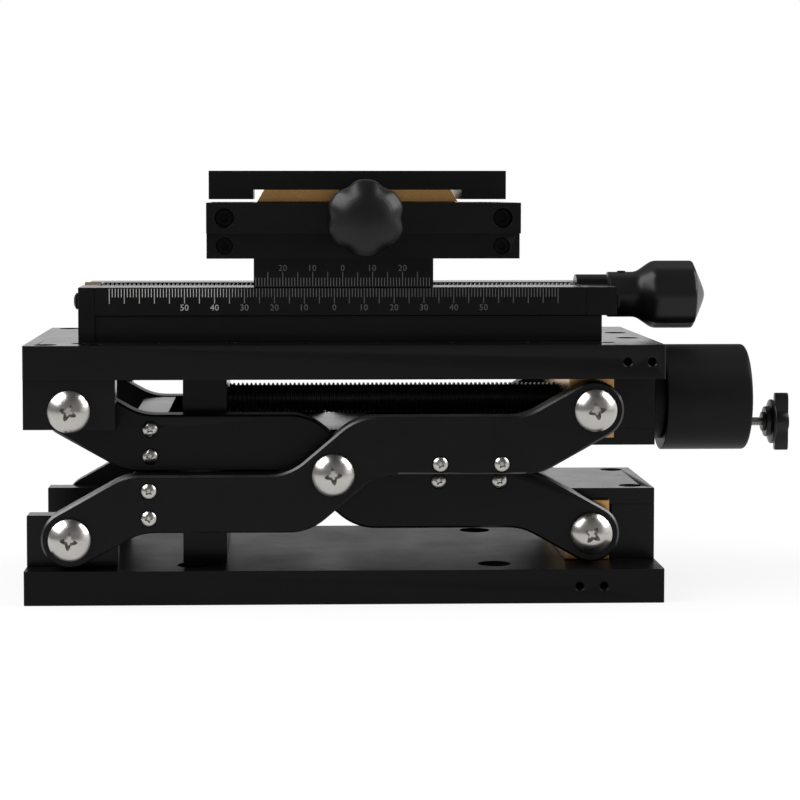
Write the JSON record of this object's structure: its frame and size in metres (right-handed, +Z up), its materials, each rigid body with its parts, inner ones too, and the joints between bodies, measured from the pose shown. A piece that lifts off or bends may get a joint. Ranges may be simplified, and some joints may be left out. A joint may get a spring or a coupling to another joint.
{
  "type": "three-axis manual stage",
  "caption": "Manual three-axis stage: scissor lift with lead screw and crank knob, ruled X screw slide and short Y dovetail slide under a flat table.",
  "frame": {"origin": "centre of the base plate's underside", "axes": "+X along the plates towards the lift knob, +Y from the scale side to the back, +Z up"},
  "size_m": [0.2614, 0.116, 0.142],
  "materials": {
    "black_anodised": "black anodised, satin",
    "nickel_screws": "bright nickel plated steel",
    "black_screws": "black oxide steel",
    "steel": "ground and rolled steel thread",
    "brass": "machined brass",
    "black_plastic": "satin moulded plastic"
  },
  "bodies": {
    "base": {"base_plate": "black_anodised", "base_pivot_blocks": "black_anodised", "base_pivot_screws": "nickel_screws", "base_cross_bar": "black_anodised", "base_guide_block": "black_anodised", "base_guide_cap": "black_anodised", "base_cap_screws": "black_screws"},
    "outer_arms": {"outer_arm_front": "black_anodised", "outer_arm_rear": "black_anodised", "outer_spreader_bar": "black_anodised", "outer_spreader_plate": "black_anodised", "outer_arm_screws": "nickel_screws"},
    "inner_arms": {"inner_arm_front": "black_anodised", "inner_arm_rear": "black_anodised", "inner_spreader_bar": "black_anodised", "inner_spreader_plate": "black_anodised", "inner_arm_screws": "nickel_screws", "centre_block": "black_anodised", "centre_pivot_screws": "nickel_screws"},
    "lower_guide": {"lower_slider": "brass", "lower_slider_screws": "nickel_screws"},
    "lift_nut": {"upper_slider": "brass", "upper_slider_screws": "nickel_screws"},
    "top": {"top_plate": "black_anodised", "top_pivot_blocks": "black_anodised", "top_pivot_screws": "nickel_screws", "screw_bearing_bar": "black_anodised", "top_guide_block": "black_anodised", "top_guide_cap": "black_anodised", "top_cap_screws": "black_screws", "screw_bushes": "brass", "x_floor": "black_anodised", "x_rail_front": "black_anodised", "x_rail_rear": "black_anodised", "x_end_left": "black_anodised", "x_end_right": "black_anodised", "x_end_screws": "black_screws"},
    "lift_drive": {"lift_screw": "black_screws", "lift_knob": "black_anodised", "lift_knob_hub": "black_anodised", "crank_stud": "steel"},
    "crank": {"crank_grip": "black_plastic"},
    "carriage": {"x_carriage": "black_anodised", "x_nut": "brass", "x_gib": "brass", "y_adapter": "black_anodised", "y_slide_bolts": "black_screws", "y_front_screws": "black_screws", "y_body": "black_anodised", "y_front_plate": "black_anodised"},
    "x_drive": {"x_screw": "steel", "x_knob": "black_plastic", "x_set_screw": "black_screws"},
    "table": {"table": "black_anodised", "table_dovetail": "brass", "table_nut": "brass", "table_screws": "black_screws"},
    "y_drive": {"y_screw": "steel", "y_knob": "black_plastic"}
  },
  "joints": [
    {"name": "lift_angle", "type": "hinge", "parent": "base", "child": "outer_arms", "pos_m": [-0.09, 0, 0.0215], "axis": [0, -1, 0], "range_deg": [0, 21.4]},
    {"name": "centre_pivot", "type": "hinge", "parent": "outer_arms", "child": "inner_arms", "pos_m": [-0.004, 0, 0.0425], "axis": [0, -1, 0], "range_deg": [-42.8, 0]},
    {"name": "top_pivot", "type": "hinge", "parent": "inner_arms", "child": "top", "pos_m": [-0.09, 0, 0.0635], "axis": [0, -1, 0], "range_deg": [0, 21.4]},
    {"name": "lower_slider_pivot", "type": "hinge", "parent": "inner_arms", "child": "lower_guide", "pos_m": [0.082, 0, 0.0215], "axis": [0, -1, 0], "range_deg": [0, 21.4]},
    {"name": "upper_slider_pivot", "type": "hinge", "parent": "outer_arms", "child": "lift_nut", "pos_m": [0.082, 0, 0.0635], "axis": [0, -1, 0], "range_deg": [-21.4, 0]},
    {"name": "lift_screw_spin", "type": "hinge", "parent": "top", "child": "lift_drive", "pos_m": [0, 0, 0.0635], "axis": [1, 0, 0], "range_deg": [0, 6525]},
    {"name": "crank_spin", "type": "hinge", "parent": "lift_drive", "child": "crank", "pos_m": [0.15, 0, 0.0547], "axis": [1, 0, 0], "continuous": true},
    {"name": "x_slide", "type": "slide", "parent": "top", "child": "carriage", "axis": [1, 0, 0], "range_m": [-0.05, 0.05]},
    {"name": "x_screw_spin", "type": "hinge", "parent": "top", "child": "x_drive", "pos_m": [0, 0, 0.0993], "axis": [1, 0, 0], "range_deg": [-12002, 12002]},
    {"name": "y_slide", "type": "slide", "parent": "carriage", "child": "table", "axis": [0, 1, 0], "range_m": [-0.0125, 0.0125]},
    {"name": "y_screw_spin", "type": "hinge", "parent": "carriage", "child": "y_drive", "pos_m": [0.00645, 0, 0.1264], "axis": [0, 1, 0], "range_deg": [-4501, 4501]}
  ],
  "couplings": [
    {"joint": "centre_pivot", "follows": "lift_angle", "ratio": -2},
    {"joint": "top_pivot", "follows": "lift_angle", "ratio": 1},
    {"joint": "lower_slider_pivot", "follows": "lift_angle", "ratio": 1},
    {"joint": "upper_slider_pivot", "follows": "lift_angle", "ratio": -1},
    {"joint": "lift_screw_spin", "follows": "lift_angle", "ratio": 304.86},
    {"joint": "x_screw_spin", "follows": "x_slide", "rad_per_m": -4188.8},
    {"joint": "y_screw_spin", "follows": "y_slide", "rad_per_m": -6283.2}
  ]
}
